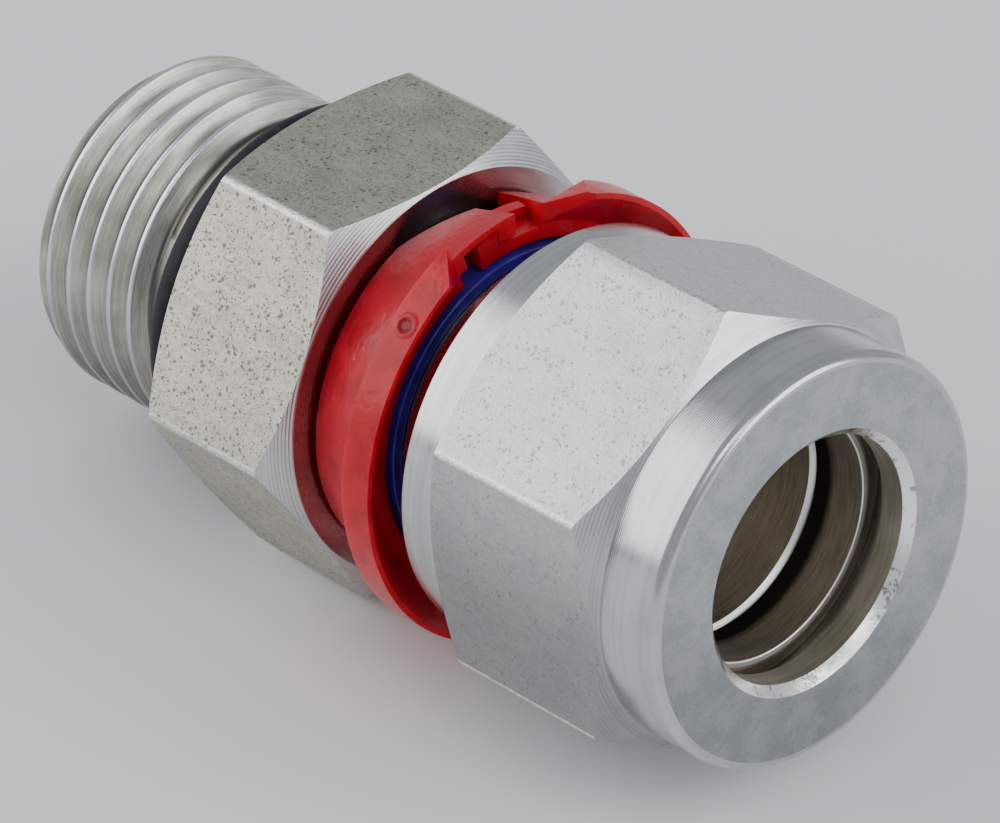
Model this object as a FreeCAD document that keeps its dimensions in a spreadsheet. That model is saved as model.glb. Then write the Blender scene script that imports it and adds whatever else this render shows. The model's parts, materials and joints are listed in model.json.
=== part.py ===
import FreeCAD, Part
import os

import Sketcher

# Male tube connector: a hexagon body with a threaded stud and its seal, a union nut with two
# ferrules for a plain tube, and a split plastic ring that sits on the neck between the hexagons.
# The origin is on the axis, in the plane where the body hexagon meets the port. +X runs to the
# tube, and +Z is up with a flat of the body hexagon facing down, about as the fitting comes to lie.
# Angles are in degrees from +Y towards +Z, so 90 points straight up.

SIZES = [
    ("tube_dia", 12.7, "outside of the tube that the fitting grips"),
    ("tube_gap", 0.07, "room round the tube in the body and the ferrules"),
    ("run_gap", 0.15, "room between pieces that move on each other"),
    ("seat_gap", 0.05, "room between pieces that rest on each other"),
    ("hex_flats", 22.225, "across the flats of both hexagons"),
    ("hex_length", 9.9, "length of the body hexagon"),
    ("hex_face_dia", 21.96, "round face left by the chamfers on the body hexagon"),
    ("chamfer_slope", 30, "chamfers of the hexagons, from the end plane"),
    ("body_corner", 240, "corner of the body hexagon, which leaves a flat facing down"),
    ("nut_corner", 271.8, "corner of the nut hexagon, where the nut has come to rest"),
    ("stud_dia", 18.35, "outside of the stud thread"),
    ("stud_length", 12.3, "stud from the hexagon to its end"),
    ("stud_bevel", 0.75, "bevel at the end of the stud"),
    ("seal_floor_dia", 16.1, "floor of the seal groove"),
    ("seal_groove", 2.8, "seal groove along the stud"),
    ("seal_cord", 2.2, "thickness of the seal ring"),
    ("flow_dia", 10.4, "bore through the body"),
    ("stud_bore_dia", 12.4, "wider bore in the stud"),
    ("stud_bore_depth", 14.3, "depth of that bore, from the stud end"),
    ("drill_slope", 59, "end of that bore, from the axis"),
    ("tube_stop", 12.3, "shoulder that the tube end rests on"),
    ("neck_dia", 16.2, "neck inside the plastic ring"),
    ("neck_end", 15.5, "front of the neck"),
    ("collar_dia", 17.7, "plain shoulder in front of the neck"),
    ("collar_end", 17, "front of that shoulder"),
    ("screw_dia", 19.05, "thread of the nut"),
    ("screw_end", 25.3, "front of the thread on the body"),
    ("screw_bevel", 0.7, "bevels at the ends of that thread"),
    ("nose_wall", 0.995, "rim of the nose, outside its cone"),
    ("nose_end", 27, "front of the nose"),
    ("cone_slope", 20, "cone in the nose, from the axis"),
    ("cone_depth", 2.3, "depth of that cone"),
    ("nut_front", 17.6, "edge of the nut that faces the body"),
    ("nut_length", 17.6, "length of the nut"),
    ("skirt_dia", 21.86, "round ends of the nut"),
    ("skirt_length", 2.3, "round end that faces the body"),
    ("nut_hex_length", 11.65, "hexagon of the nut with its chamfers"),
    ("rim_round", 0.5, "rounded rim at the tube end"),
    ("mouth_bevel", 0.5, "bevel round the tube hole"),
    ("nut_hole_dia", 13.1, "hole in the nut for the tube"),
    ("nut_screw_depth", 9.8, "depth of the thread in the nut"),
    ("ferrule_wall", 1.73, "wall of both ferrules"),
    ("front_entry", 1.65, "how far the front ferrule enters the nose of the body"),
    ("front_taper", 3, "tapered length of the front ferrule"),
    ("front_length", 4.3, "whole front ferrule"),
    ("back_entry", 0.85, "how far the back ferrule enters the front one"),
    ("back_edge", 0.3, "wall at both ends of the back ferrule"),
    ("back_shoulder", 0.93, "wall behind its tapered nose"),
    ("back_flange", 1.7, "full-size part of the back ferrule"),
    ("band_dia", 17.5, "outside of the coloured neck band"),
    ("band_start", 10.4, "back of the band"),
    ("band_length", 5, "length of the band"),
    ("ring_start", 10.2, "back of the plastic ring"),
    ("ring_bore_dia", 18.1, "bore of the plastic ring"),
    ("ring_back_dia", 19.5, "cone of the ring at its back"),
    ("ring_front_dia", 22.1, "cone of the ring at its lip"),
    ("ring_cone", 4.35, "length of that cone"),
    ("lip_dia", 24, "outside of the lip"),
    ("lip_length", 1.85, "lip along the axis"),
    ("lip_edge", 0.3, "front edge of the lip"),
    ("funnel_dia", 19.8, "back of the funnel inside the lip"),
    ("split_left", 108.7, "end of the full section on the arm side"),
    ("split_right", 76.2, "end of the full section on the hook side"),
    ("lip_runout", 1.75, "length over which each end of the lip runs out"),
    ("ramp_back", 10.7, "ramp of the lip on the hook side, above the axis at the back of the lip"),
    ("ramp_front", 11.35, "the same ramp at the front of the lip"),
    ("tongue_slant", 1.45, "how far the hook side is cut back at the back of the ring"),
    ("arm_end", 86.1, "free end of the latch arm"),
    ("arm_root", 89.9, "where the arm widens to the full cone"),
    ("arm_back", 1.5, "back of the arm tip, from the back of the ring"),
    ("root_back", 0.9, "back of the wide part of the arm"),
    ("arm_floor_dia", 19.7, "underside of the arm"),
    ("hook_end", 100.2, "free end of the hook"),
    ("hook_width", 1.4, "hook along the axis"),
    ("barb_angle", 7.2, "barb on the hook, along the ring"),
    ("arm_wall", 0.4, "wall of the arm over the barb"),
    ("heel_end", 105.2, "where the arm has its full depth again, behind the barb"),
    ("latch_gap", 0.12, "room between the arm and the hook"),
    ("latch_play", 0.6, "the same room as an angle"),
    ("finger_end", 74.9, "free end of the thin finger"),
    ("finger_back", 2.4, "back of the finger, from the back of the ring"),
    ("finger_width", 0.65, "finger along the axis"),
    ("finger_wall", 0.5, "thickness of the finger"),
]

doc = FreeCAD.newDocument("tube_connector")
sheet = doc.addObject("Spreadsheet::Sheet", "Size")
for row, (alias, value, note) in enumerate(SIZES, start=1):
    sheet.set(f"A{row}", note)
    sheet.set(f"B{row}", str(value))
    sheet.setAlias(f"B{row}", alias)
doc.recompute()

# Radii that more than one piece needs.
BORE = "(Size.tube_dia / 2 + Size.tube_gap)"
CORNER = "(Size.hex_flats / 2 / cos(30))"
FERRULE = f"({BORE} + Size.ferrule_wall)"
FERRULE_ROOM = f"({FERRULE} + Size.run_gap)"
FRONT_START = "(Size.nose_end - Size.front_entry)"
NOSE = f"({BORE} + Size.cone_depth * tan(Size.cone_slope) + Size.nose_wall)"
ON_AXIS = "0"

# The slanted cuts of the lip run this many times its width, to clear its front edge.
OVERCUT = 1.1


def new_body(label):
    """An empty body whose label names its file."""
    body = doc.addObject("PartDesign::Body", label)
    body.Label = label
    return body


def attach(feature, body, role, start="0", turn="0", axis=(1, 0, 0)):
    """Put a sketch or a prism on one of the body's own planes, shifted along X and turned."""
    plane = [item for item in body.Origin.OriginFeatures if item.Role == role][0]
    feature.AttachmentSupport = [(plane, "")]
    feature.MapMode = "FlatFace"
    feature.AttachmentOffset = FreeCAD.Placement(
        FreeCAD.Vector(0, 0, 0), FreeCAD.Rotation(FreeCAD.Vector(*axis), 1)
    )
    along = "z" if role == "YZ_Plane" else "x"
    feature.setExpression(f"AttachmentOffset.Base.{along}", start)
    feature.setExpression("AttachmentOffset.Rotation.Angle", turn)


def draw(sketch, corners):
    """A closed outline of straight lines whose corners are formulas on the sizes."""
    count = len(corners)
    for index in range(count):
        start = FreeCAD.Vector(index, index * index, 0)
        end = FreeCAD.Vector(index + 1, (index + 1) ** 2, 0)
        sketch.addGeometry(Part.LineSegment(start, end))
    for index in range(count):
        follower = (index + 1) % count
        sketch.addConstraint(Sketcher.Constraint("Coincident", index, 2, follower, 1))
    for index, (across, upward) in enumerate(corners):
        for kind, formula in (("DistanceX", across), ("DistanceY", upward)):
            rule = sketch.addConstraint(Sketcher.Constraint(kind, -1, 1, index, 1, 1))
            sketch.setExpression(f"Constraints[{rule}]", formula)


def turned(body, name, start, corners, kind="Revolution", first="90", sweep="360"):
    """An outline of (along the axis, radius) swept round X from one angle over another."""
    sketch = body.newObject("Sketcher::SketchObject", name + "_outline")
    attach(sketch, body, "XZ_Plane", start, f"{first} - 90")
    draw(sketch, corners)
    feature = body.newObject("PartDesign::" + kind, name)
    feature.Profile = sketch
    feature.ReferenceAxis = (sketch, ["H_Axis"])
    feature.setExpression("Angle", sweep)
    return feature


def hexagon(body, name, start, length, corner_angle):
    """A length of hexagon bar along X with one corner at the given angle."""
    bar = body.newObject("PartDesign::AdditivePrism", name)
    attach(bar, body, "YZ_Plane", start, corner_angle, axis=(0, 0, 1))
    bar.Polygon = 6
    bar.setExpression("Circumradius", CORNER)
    bar.setExpression("Height", length)


def chamfer_corners(body, name, start, length, face):
    """Turn the corners of a hexagon down to a round face at both ends."""
    top = f"({CORNER} + 1)"
    reach = f"(({top} - {face}) * tan(Size.chamfer_slope))"
    back = [("0", face), ("0", top), (reach, top)]
    front = [(length, face), (length, top), (f"{length} - {reach}", top)]
    turned(body, name + "_back", start, back, "Groove")
    turned(body, name + "_front", start, front, "Groove")


def connector_body():
    """Hexagon bar turned down to the stud on one side and to the neck and nose on the other."""
    body = new_body("connector_body")
    hexagon(body, "hex_bar", "0", "Size.hex_length", "Size.body_corner")
    chamfer_corners(body, "hex_chamfer", "0", "Size.hex_length", "Size.hex_face_dia / 2")
    stud = "Size.stud_dia / 2"
    floor = "Size.seal_floor_dia / 2"
    screw = "(Size.screw_dia / 2 - Size.run_gap)"
    groove_start = "Size.stud_length - Size.seal_groove"
    outside = [
        ("0", ON_AXIS),
        ("0", f"{stud} - Size.stud_bevel"),
        ("Size.stud_bevel", stud),
        (groove_start, stud),
        (groove_start, floor),
        ("Size.stud_length + Size.hex_length / 2", floor),
        ("Size.stud_length + Size.hex_length / 2", "Size.neck_dia / 2"),
        ("Size.stud_length + Size.neck_end", "Size.neck_dia / 2"),
        ("Size.stud_length + Size.neck_end", "Size.collar_dia / 2"),
        ("Size.stud_length + Size.collar_end", "Size.collar_dia / 2"),
        ("Size.stud_length + Size.collar_end + Size.screw_bevel", screw),
        ("Size.stud_length + Size.screw_end - Size.screw_bevel", screw),
        ("Size.stud_length + Size.screw_end", f"{screw} - Size.screw_bevel"),
        ("Size.stud_length + Size.screw_end", NOSE),
        ("Size.stud_length + Size.nose_end", NOSE),
        ("Size.stud_length + Size.nose_end", ON_AXIS),
    ]
    turned(body, "stud_neck_nose", "-Size.stud_length", outside)
    nose = "Size.stud_length + Size.nose_end"
    drill_point = "(Size.stud_bore_dia - Size.flow_dia) / 2 / tan(Size.drill_slope)"
    inside = [
        ("0", ON_AXIS),
        ("0", "Size.stud_bore_dia / 2"),
        ("Size.stud_bore_depth", "Size.stud_bore_dia / 2"),
        (f"Size.stud_bore_depth + {drill_point}", "Size.flow_dia / 2"),
        ("Size.stud_length + Size.tube_stop", "Size.flow_dia / 2"),
        ("Size.stud_length + Size.tube_stop", BORE),
        (f"{nose} - Size.cone_depth", BORE),
        (nose, f"{BORE} + Size.cone_depth * tan(Size.cone_slope)"),
        (nose, ON_AXIS),
    ]
    turned(body, "bore_and_socket", "-Size.stud_length", inside, "Groove")
    return body


def union_nut():
    """Hexagon nut with round ends, a thread inside and a slope that pushes the back ferrule."""
    body = new_body("union_nut")
    skirt = "Size.skirt_dia / 2"
    hex_start = "Size.nut_front + Size.skirt_length"
    hexagon(body, "nut_hex", hex_start, "Size.nut_hex_length", "Size.nut_corner")
    chamfer_corners(body, "nut_chamfer", hex_start, "Size.nut_hex_length", skirt)
    outside = [
        ("0", ON_AXIS),
        ("0", skirt),
        ("Size.nut_length", skirt),
        ("Size.nut_length", ON_AXIS),
    ]
    turned(body, "nut_round", "Size.nut_front", outside)
    seat = f"({BACK_START} + Size.back_entry + Size.back_flange - Size.nut_front + Size.run_gap)"
    hole = "Size.nut_hole_dia / 2"
    slope_end = f"{seat} + {FERRULE_ROOM} - {hole}"
    inside = [
        ("0", ON_AXIS),
        ("0", "Size.screw_dia / 2 + Size.screw_bevel"),
        ("Size.screw_bevel", "Size.screw_dia / 2"),
        ("Size.nut_screw_depth", "Size.screw_dia / 2"),
        ("Size.nut_screw_depth", FERRULE_ROOM),
        (seat, FERRULE_ROOM),
        (slope_end, hole),
        ("Size.nut_length - Size.mouth_bevel", hole),
        ("Size.nut_length", f"{hole} + Size.mouth_bevel"),
        ("Size.nut_length", ON_AXIS),
    ]
    bore = turned(body, "nut_inside", "Size.nut_front", inside, "Groove")
    doc.recompute()
    rim_round = body.newObject("PartDesign::Fillet", "rim")
    rim_round.Base = (bore, [rim_edge(bore.Shape)])
    rim_round.setExpression("Radius", "Size.rim_round")
    return body


def rim_edge(shape):
    """The outer circle at the tube end of the nut."""
    end = shape.BoundBox.XMax
    best = None
    for number, edge in enumerate(shape.Edges, start=1):
        if not isinstance(edge.Curve, Part.Circle) or abs(edge.CenterOfMass.x - end) > 0.01:
            continue
        if best is None or edge.Curve.Radius > best[0]:
            best = (edge.Curve.Radius, f"Edge{number}")
    return best[1]


# The back ferrule starts a little inside the front one.
BACK_START = f"({FRONT_START} + Size.front_length - Size.back_entry + Size.seat_gap)"


def front_ferrule():
    """Ring with a long taper that seals in the cone of the body."""
    body = new_body("front_ferrule")
    into_cone = "(Size.cone_depth - Size.front_entry)"
    nose = f"({BORE} + {into_cone} * tan(Size.cone_slope) - Size.seat_gap)"
    corners = [
        ("0", BORE),
        ("0", nose),
        ("Size.front_taper", f"{nose} + Size.front_taper * tan(Size.cone_slope)"),
        ("Size.front_taper", FERRULE),
        ("Size.front_length", FERRULE),
        ("Size.front_length", f"{BORE} + Size.back_entry + Size.back_edge"),
        ("Size.front_length - Size.back_entry - Size.back_edge", BORE),
    ]
    turned(body, "front_ring", FRONT_START, corners)
    return body


def back_ferrule():
    """Ring with a short nose under the front ferrule and a slope that the nut pushes."""
    body = new_body("back_ferrule")
    flange = "(Size.back_entry + Size.seat_gap)"
    slope = f"({flange} + Size.back_flange)"
    rear = "(Size.ferrule_wall - Size.back_edge)"
    corners = [
        ("0", BORE),
        ("0", f"{BORE} + Size.back_edge"),
        (flange, f"{BORE} + Size.back_shoulder"),
        (flange, FERRULE),
        (slope, FERRULE),
        (f"{slope} + {rear}", f"{BORE} + Size.back_edge"),
        (f"{slope} + {rear}", BORE),
    ]
    turned(body, "back_ring", BACK_START, corners)
    return body


def o_ring():
    """Rubber ring in the groove, against the face of the hexagon."""
    ring = doc.addObject("Part::Torus", "o_ring")
    ring.Label = "o_ring"
    ring.setExpression("Radius1", "Size.seal_floor_dia / 2 + Size.seal_cord / 2 + Size.seat_gap")
    ring.setExpression("Radius2", "Size.seal_cord / 2")
    ring.Placement = FreeCAD.Placement(
        FreeCAD.Vector(0, 0, 0), FreeCAD.Rotation(FreeCAD.Vector(0, 1, 0), 90)
    )
    ring.setExpression("Placement.Base.x", "-Size.seal_cord / 2 - Size.seat_gap")
    return ring


def neck_band():
    """Thin coloured sleeve pressed on the neck."""
    body = new_body("neck_band")
    inner = "Size.neck_dia / 2 + Size.seat_gap"
    corners = [
        ("0", inner),
        ("0", "Size.band_dia / 2"),
        ("Size.band_length", "Size.band_dia / 2"),
        ("Size.band_length", inner),
    ]
    turned(body, "band", "Size.band_start", corners)
    return body


def cut_outwards(body, name, angle, corners):
    """Cut an outline of (along the axis, round the ring) out of the ring's wall at an angle."""
    sketch = body.newObject("Sketcher::SketchObject", name + "_outline")
    attach(sketch, body, "XY_Plane", "Size.ring_start", f"{angle} - 90")
    draw(sketch, corners)
    pocket = body.newObject("PartDesign::Pocket", name)
    pocket.Profile = sketch
    pocket.setExpression("Length", "Size.lip_dia")
    pocket.Reversed = True


def indicator_ring():
    """Moulded split ring: a cone, a lip with a funnel inside, and a latch where its ends meet."""
    body = new_body("indicator_ring")
    start = "Size.ring_start"
    bore = "Size.ring_bore_dia / 2"
    section = [
        ("0", bore),
        ("0", "Size.ring_back_dia / 2"),
        ("Size.ring_cone", "Size.ring_front_dia / 2"),
        ("Size.ring_cone", "Size.lip_dia / 2"),
        ("Size.ring_cone + Size.lip_length", "Size.lip_dia / 2"),
        ("Size.ring_cone + Size.lip_length", "Size.lip_dia / 2 - Size.lip_edge"),
        ("Size.ring_cone", "Size.funnel_dia / 2"),
        ("Size.ring_cone", bore),
    ]
    around = "360 - Size.split_left + Size.split_right"
    turned(body, "ring_section", start, section, first="Size.split_left", sweep=around)
    past_lip = f"Size.ring_cone + {OVERCUT} * Size.lip_length"
    for name, angle, side in (("left", "Size.split_left", -1), ("right", "Size.split_right", 1)):
        lip = [
            ("Size.ring_cone", "0"),
            ("Size.ring_cone", f"{-side} * Size.lip_edge"),
            (past_lip, f"{-side} * Size.lip_edge"),
            (past_lip, f"{side * OVERCUT} * Size.lip_runout"),
        ]
        cut_outwards(body, name + "_lip_end", angle, lip)
    tongue = [
        ("-Size.lip_edge", "-Size.lip_edge"),
        ("Size.ring_cone", "-Size.lip_edge"),
        ("Size.ring_cone", "0"),
        ("-Size.lip_edge", "Size.tongue_slant"),
    ]
    cut_outwards(body, "tongue", "Size.split_right", tongue)
    ramp = [
        ("Size.ring_cone", "-Size.ramp_back"),
        ("Size.ring_cone", "-Size.lip_dia"),
        (past_lip, "-Size.lip_dia"),
        (past_lip, f"-Size.ramp_back - {OVERCUT} * (Size.ramp_front - Size.ramp_back)"),
    ]
    cut_outwards(body, "right_lip_ramp", "0", ramp)
    latch_arm(body, start)
    latch_hook(body, start, bore)
    return body


def cone_radius(along):
    """Outside of the ring's cone at a distance from its back."""
    rise = "(Size.ring_front_dia - Size.ring_back_dia) / 2 / Size.ring_cone"
    return f"(Size.ring_back_dia / 2 + {along} * {rise})"


def latch_arm(body, start):
    """The arm continues the cone over the hook. Its tip is narrow and carries a thin finger."""
    floor = "Size.arm_floor_dia / 2"
    room_back = "(Size.ring_cone - Size.hook_width - Size.latch_gap)"
    room_front = "(Size.ring_cone + Size.latch_gap)"
    parts = [
        ("arm_wide", "Size.root_back", "Size.arm_root", "Size.split_left - Size.arm_root + 1"),
        ("arm_tip", "Size.arm_back", "Size.arm_end", "Size.arm_root - Size.arm_end + 1"),
    ]
    for name, back, first, sweep in parts:
        corners = [
            (back, floor),
            (back, cone_radius(back)),
            ("Size.ring_cone", "Size.ring_front_dia / 2"),
            ("Size.ring_cone", floor),
        ]
        turned(body, name, start, corners, first=first, sweep=sweep)
    finger = [
        ("Size.finger_back", floor),
        ("Size.finger_back", f"{floor} + Size.finger_wall"),
        ("Size.finger_back + Size.finger_width", f"{floor} + Size.finger_wall"),
        ("Size.finger_back + Size.finger_width", floor),
    ]
    finger_sweep = "Size.arm_end - Size.finger_end + 1"
    turned(body, "finger", start, finger, first="Size.finger_end", sweep=finger_sweep)
    room = [
        (room_back, f"{floor} - Size.latch_gap"),
        (room_back, f"{cone_radius(room_back)} - Size.arm_wall"),
        (room_front, f"{cone_radius(room_front)} - Size.arm_wall"),
        (room_front, f"{floor} - Size.latch_gap"),
    ]
    room_first = "Size.hook_end - Size.barb_angle - Size.latch_play"
    room_sweep = "Size.heel_end - Size.hook_end + Size.barb_angle + Size.latch_play"
    turned(body, "barb_room", start, room, "Groove", first=room_first, sweep=room_sweep)


def latch_hook(body, start, bore):
    """The hook runs under the arm and its barb stands behind the foot of the arm."""
    back = "(Size.ring_cone - Size.hook_width)"
    low = "Size.arm_floor_dia / 2 - Size.latch_gap"
    parts = [
        ("hook", low, low, "Size.split_right - 1", "Size.hook_end - Size.split_right + 1"),
        (
            "barb",
            f"{cone_radius(back)} - Size.arm_wall - Size.latch_gap",
            f"{cone_radius('Size.ring_cone')} - Size.arm_wall - Size.latch_gap",
            "Size.hook_end - Size.barb_angle",
            "Size.barb_angle",
        ),
    ]
    for name, top_back, top_front, first, sweep in parts:
        corners = [
            (back, bore),
            (back, top_back),
            ("Size.ring_cone", top_front),
            ("Size.ring_cone", bore),
        ]
        turned(body, name, start, corners, first=first, sweep=sweep)


pieces = [
    connector_body(),
    union_nut(),
    front_ferrule(),
    back_ferrule(),
    o_ring(),
    neck_band(),
    indicator_ring(),
]
doc.recompute()

for item in doc.Objects:
    if "Invalid" in item.State or "Error" in item.State:
        raise RuntimeError(f"{item.Name} did not build: {item.State}")
for piece in pieces:
    if piece.Shape.isNull() or not piece.Shape.isValid() or len(piece.Shape.Solids) != 1:
        raise RuntimeError(f"{piece.Label} has no single valid solid")

os.makedirs("parts", exist_ok=True)
for piece in pieces:
    piece.Shape.exportStep(f"parts/{piece.Label}.step")
    print(piece.Label, round(piece.Shape.Volume, 2), piece.Shape.BoundBox)
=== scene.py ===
import json
import math

import bmesh
import bpy
from mathutils import Matrix, Vector

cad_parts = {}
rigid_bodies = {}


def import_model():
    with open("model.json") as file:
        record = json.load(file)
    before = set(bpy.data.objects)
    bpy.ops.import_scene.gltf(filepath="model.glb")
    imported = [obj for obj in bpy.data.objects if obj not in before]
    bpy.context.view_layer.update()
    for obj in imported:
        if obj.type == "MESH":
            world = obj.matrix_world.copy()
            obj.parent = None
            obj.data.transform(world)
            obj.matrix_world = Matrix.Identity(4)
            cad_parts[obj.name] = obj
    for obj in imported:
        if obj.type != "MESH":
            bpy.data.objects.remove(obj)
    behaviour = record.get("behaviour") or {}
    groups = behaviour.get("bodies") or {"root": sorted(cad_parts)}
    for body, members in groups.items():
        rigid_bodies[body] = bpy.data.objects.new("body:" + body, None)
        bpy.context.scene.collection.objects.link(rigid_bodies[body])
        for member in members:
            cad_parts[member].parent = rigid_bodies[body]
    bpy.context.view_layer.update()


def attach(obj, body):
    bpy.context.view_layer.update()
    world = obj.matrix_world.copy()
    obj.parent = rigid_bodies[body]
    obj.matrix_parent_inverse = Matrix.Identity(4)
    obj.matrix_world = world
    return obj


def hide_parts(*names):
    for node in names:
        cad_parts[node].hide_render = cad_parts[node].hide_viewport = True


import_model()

# The body. A hexagon bar of stainless steel is turned down to a threaded stud on the port side
# and to a neck, the nut's thread and a nose with a tube socket on the other. The bar's own dull
# skin stays on the six flats, and everything else is bright from the lathe.

MM = 0.001
ROUND_STEPS = 144
SHARP_ANGLE = math.radians(32)
MERGE_DISTANCE = 2e-6
CUT_TOLERANCE = 1e-8
# Painted shade: the dark tone that colours are blended to at the fitting's lower left.
PAINTED_SHADE_TONE = (0.06, 0.06, 0.065)

class Wire:
    """One output of a node. Sums and products of wires add their Math nodes."""

    def __init__(self, finish, output):
        self.finish = finish
        self.output = output

    def __add__(self, other):
        return self.finish.maths("ADD", self, other)

    def __sub__(self, other):
        return self.finish.maths("SUBTRACT", self, other)

    def __rsub__(self, other):
        return self.finish.maths("SUBTRACT", other, self)

    def __mul__(self, other):
        return self.finish.maths("MULTIPLY", self, other)

    def __pow__(self, other):
        return self.finish.maths("POWER", self, other)

    __radd__ = __add__
    __rmul__ = __mul__

    def step(self, low, high, bottom=0.0, top=1.0):
        """Rises smoothly from bottom to top while the wire goes from low to high."""
        values = {0: self, 1: low, 2: high, 3: bottom, 4: top}
        return self.finish.node("ShaderNodeMapRange", values, interpolation_type="SMOOTHSTEP")


class Finish:
    """A material on Object coordinates in millimetres, built up node by node."""

    def __init__(self, name, **shader_values):
        self.material = bpy.data.materials.new(name)
        self.material.use_nodes = True
        self.tree = self.material.node_tree
        self.shader = self.tree.nodes["Principled BSDF"]
        for socket, value in shader_values.items():
            self.shader.inputs[socket.replace("_", " ")].default_value = value
        here = self.node("ShaderNodeTexCoord", output="Object")
        scale = {0: here, 1: (1 / MM,) * 3}
        self.place = self.node("ShaderNodeVectorMath", scale, operation="MULTIPLY")
        self.x = self.node("ShaderNodeSeparateXYZ", {0: self.place}, output="X")
        self.y = self.node("ShaderNodeSeparateXYZ", {0: self.place}, output="Y")
        self.z = self.node("ShaderNodeSeparateXYZ", {0: self.place}, output="Z")
        self.radius = (self.y * self.y + self.z * self.z) ** 0.5
        # Painted shade mask: from 0 on top of the fitting to 1 at its lower left.
        self.painted_shade_side = (self.y * -0.5 - self.z * 0.85).step(0.0, 8.0)

    def node(self, kind, values=None, output=0, **settings):
        made = self.tree.nodes.new(kind)
        for name, value in settings.items():
            setattr(made, name, value)
        for key, value in (values or {}).items():
            if isinstance(value, Wire):
                self.tree.links.new(value.output, made.inputs[key])
            else:
                made.inputs[key].default_value = value
        return Wire(self, made.outputs[output])

    def darkened(self, colour, share):
        """Paint shade on a colour: darken it towards the fitting's lower left."""
        return self.blend(self.painted_shade_side * share, colour, PAINTED_SHADE_TONE)

    def maths(self, operation, *values):
        return self.node("ShaderNodeMath", dict(enumerate(values)), operation=operation)

    def at(self, x, y, z):
        """A place made of three numbers or wires."""
        return self.node("ShaderNodeCombineXYZ", {0: x, 1: y, 2: z})

    def noise(self, place, scale, detail=2.0, roughness=0.5):
        values = {"Vector": place, "Scale": scale, "Detail": detail, "Roughness": roughness}
        return self.node("ShaderNodeTexNoise", values)

    def cells(self, place, scale):
        return self.node("ShaderNodeTexVoronoi", {"Vector": place, "Scale": scale})

    def blend(self, factor, first, second):
        """Mix two colours, each a wire or three numbers."""
        ends = [end if isinstance(end, Wire) else (*end, 1.0) for end in (first, second)]
        values = {0: factor, 6: ends[0], 7: ends[1]}
        return self.node("ShaderNodeMix", values, output=2, data_type="RGBA")

    def wear(self, colour, roughness=None, height=None, depth_mm=0.01):
        """Plug the finished colour, roughness and relief into the shader."""
        self.tree.links.new(colour.output, self.shader.inputs["Base Color"])
        if roughness is not None:
            self.tree.links.new(roughness.output, self.shader.inputs["Roughness"])
        if height is not None:
            values = {"Height": height, "Strength": 1.0, "Distance": depth_mm * MM}
            bump = self.node("ShaderNodeBump", values)
            self.tree.links.new(bump.output, self.shader.inputs["Normal"])
        return self.material


def bar_skin(name, light, dark, pit_share, pit_tone, rough, painted_shade_share):
    """Drawn bar: a dull, grainy skin with small dark pits and faint streaks along the bar."""
    skin = Finish(name, Metallic=1.0)
    along = skin.at(skin.x * 0.3, skin.y, skin.z)
    streaks = skin.noise(along, 1.7, 4.0)
    grain = skin.noise(skin.place, 4.5, 4.0, 0.75)
    patches = skin.noise(skin.place, 0.35, 3.0)
    warped = skin.noise(skin.place, 4.0, 2.0)
    torn = skin.noise(skin.place, 9.0, 2.0)
    ragged = warped * 0.3 + torn * 0.3
    wide = (skin.cells(skin.place, 2.7) + ragged).step(0.42, 0.68)
    few = skin.noise(skin.place, 1.1, 1.0).step(pit_share - 0.06, pit_share + 0.04)
    small = (skin.cells(skin.place, 4.8) + ragged).step(0.40, 0.66)
    some = skin.noise(skin.place, 1.7, 1.0).step(pit_share - 0.10, pit_share)
    pits = (1 - (1 - wide) * few) * (1 - (1 - small) * some)
    tone = streaks * 0.20 + grain * 0.60 + patches * 0.20
    colour = skin.blend(tone.step(0.40, 0.60), dark, light)
    deep = [part * pit_tone for part in dark]
    roughness = rough + 0.14 * grain + 0.12 * (1 - pits)
    relief = pits * (1 - pit_tone) * 1.8 + grain * 0.9 + streaks * 0.2
    # Painted shade: the colour darkens towards the lower left by the last argument's share.
    colour = skin.darkened(skin.blend(pits, deep, colour), painted_shade_share)
    return skin.wear(colour, roughness, relief, 0.018)


def lathe_skin(name, light, dark, rough, pitch=0.12, depth=0.002, shade=0.0, faced=0, painted_shade_share=0.0):
    """Turned steel: fine rings round the axis, cut along it or, where faced is 1, across it."""
    skin = Finish(name, Metallic=1.0)
    section = skin.at(skin.x, skin.radius, 0.0)
    fine = skin.noise(section, 9.0, 3.0, 0.6)
    broad = skin.noise(section, 1.6, 2.0)
    smudge = skin.noise(skin.place, 0.45, 3.0)
    wobble = skin.noise(skin.place, 0.6, 1.0)
    across = skin.radius * faced + skin.x * (1 - faced)
    turns = (across + wobble * 0.04) * (2 * math.pi / pitch)
    wave = skin.maths("SINE", turns)
    tone = fine * 0.40 + broad * 0.30 + smudge * 0.30 + wave * shade
    colour = skin.blend(tone.step(0.3, 0.7), dark, light)
    roughness = rough + 0.10 * fine + 0.10 * smudge
    # Painted shade: where the last argument is above 0, the colour darkens towards the lower
    # left.
    return skin.wear(skin.darkened(colour, painted_shade_share), roughness, fine * 0.5 + wave * 0.5, depth)


def bore_skin(name, light, dark, rough):
    """A drilled hole: streaks round the wall and a brown cast of cutting oil."""
    skin = Finish(name, Metallic=1.0)
    section = skin.at(skin.x, skin.radius, (skin.y + skin.z) * 0.05)
    streaks = skin.noise(section, 6.0, 4.0, 0.7)
    film = skin.noise(skin.place, 0.35, 2.0)
    colour = skin.blend((streaks * 0.6 + film * 0.4).step(0.35, 0.65), dark, light)
    return skin.wear(colour, rough + 0.15 * streaks, streaks, 0.010)


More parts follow.
